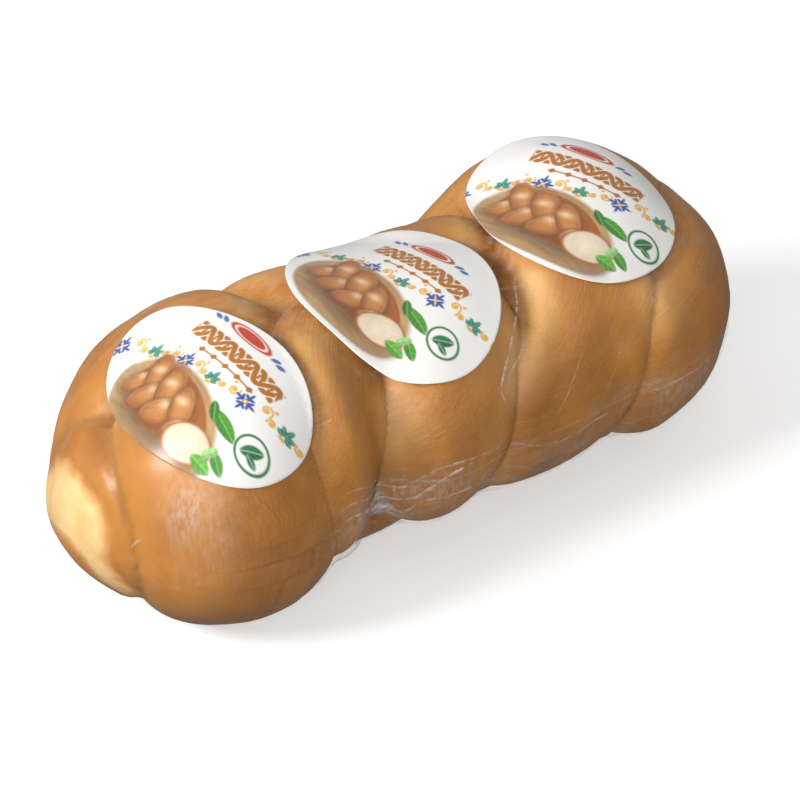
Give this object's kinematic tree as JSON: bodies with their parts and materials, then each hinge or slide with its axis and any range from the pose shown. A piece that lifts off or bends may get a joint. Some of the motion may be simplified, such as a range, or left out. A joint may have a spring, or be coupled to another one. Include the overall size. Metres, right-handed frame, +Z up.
{
  "type": "braided smoked cheese in clear film",
  "caption": "Plaited loaf of smoked stretched-curd cheese, shrink-wrapped in clear film welded round its sides, with oval paper labels along the top.",
  "frame": {"origin": "on the supporting surface, under the middle of the package's bounding box", "axes": "+X along the braid, from the end with the cream stub to the far end; +Z up; -Y is the side the labels lean towards"},
  "size_m": [0.313, 0.1378, 0.1153],
  "materials": {
    "smoked_cheese": "satin smoked skin, orange-brown, paler along the lobes' edges, with one cream unsmoked patch",
    "clear_film": "clear, glossy, fine wrinkles",
    "label_paper": null
  },
  "bodies": {
    "root": {"braid_cheese": "smoked_cheese", "film_upper_web": "clear_film", "film_lower_web": "clear_film", "label_near": "label_paper", "label_middle": "label_paper", "label_far": "label_paper"}
  },
  "joints": []
}
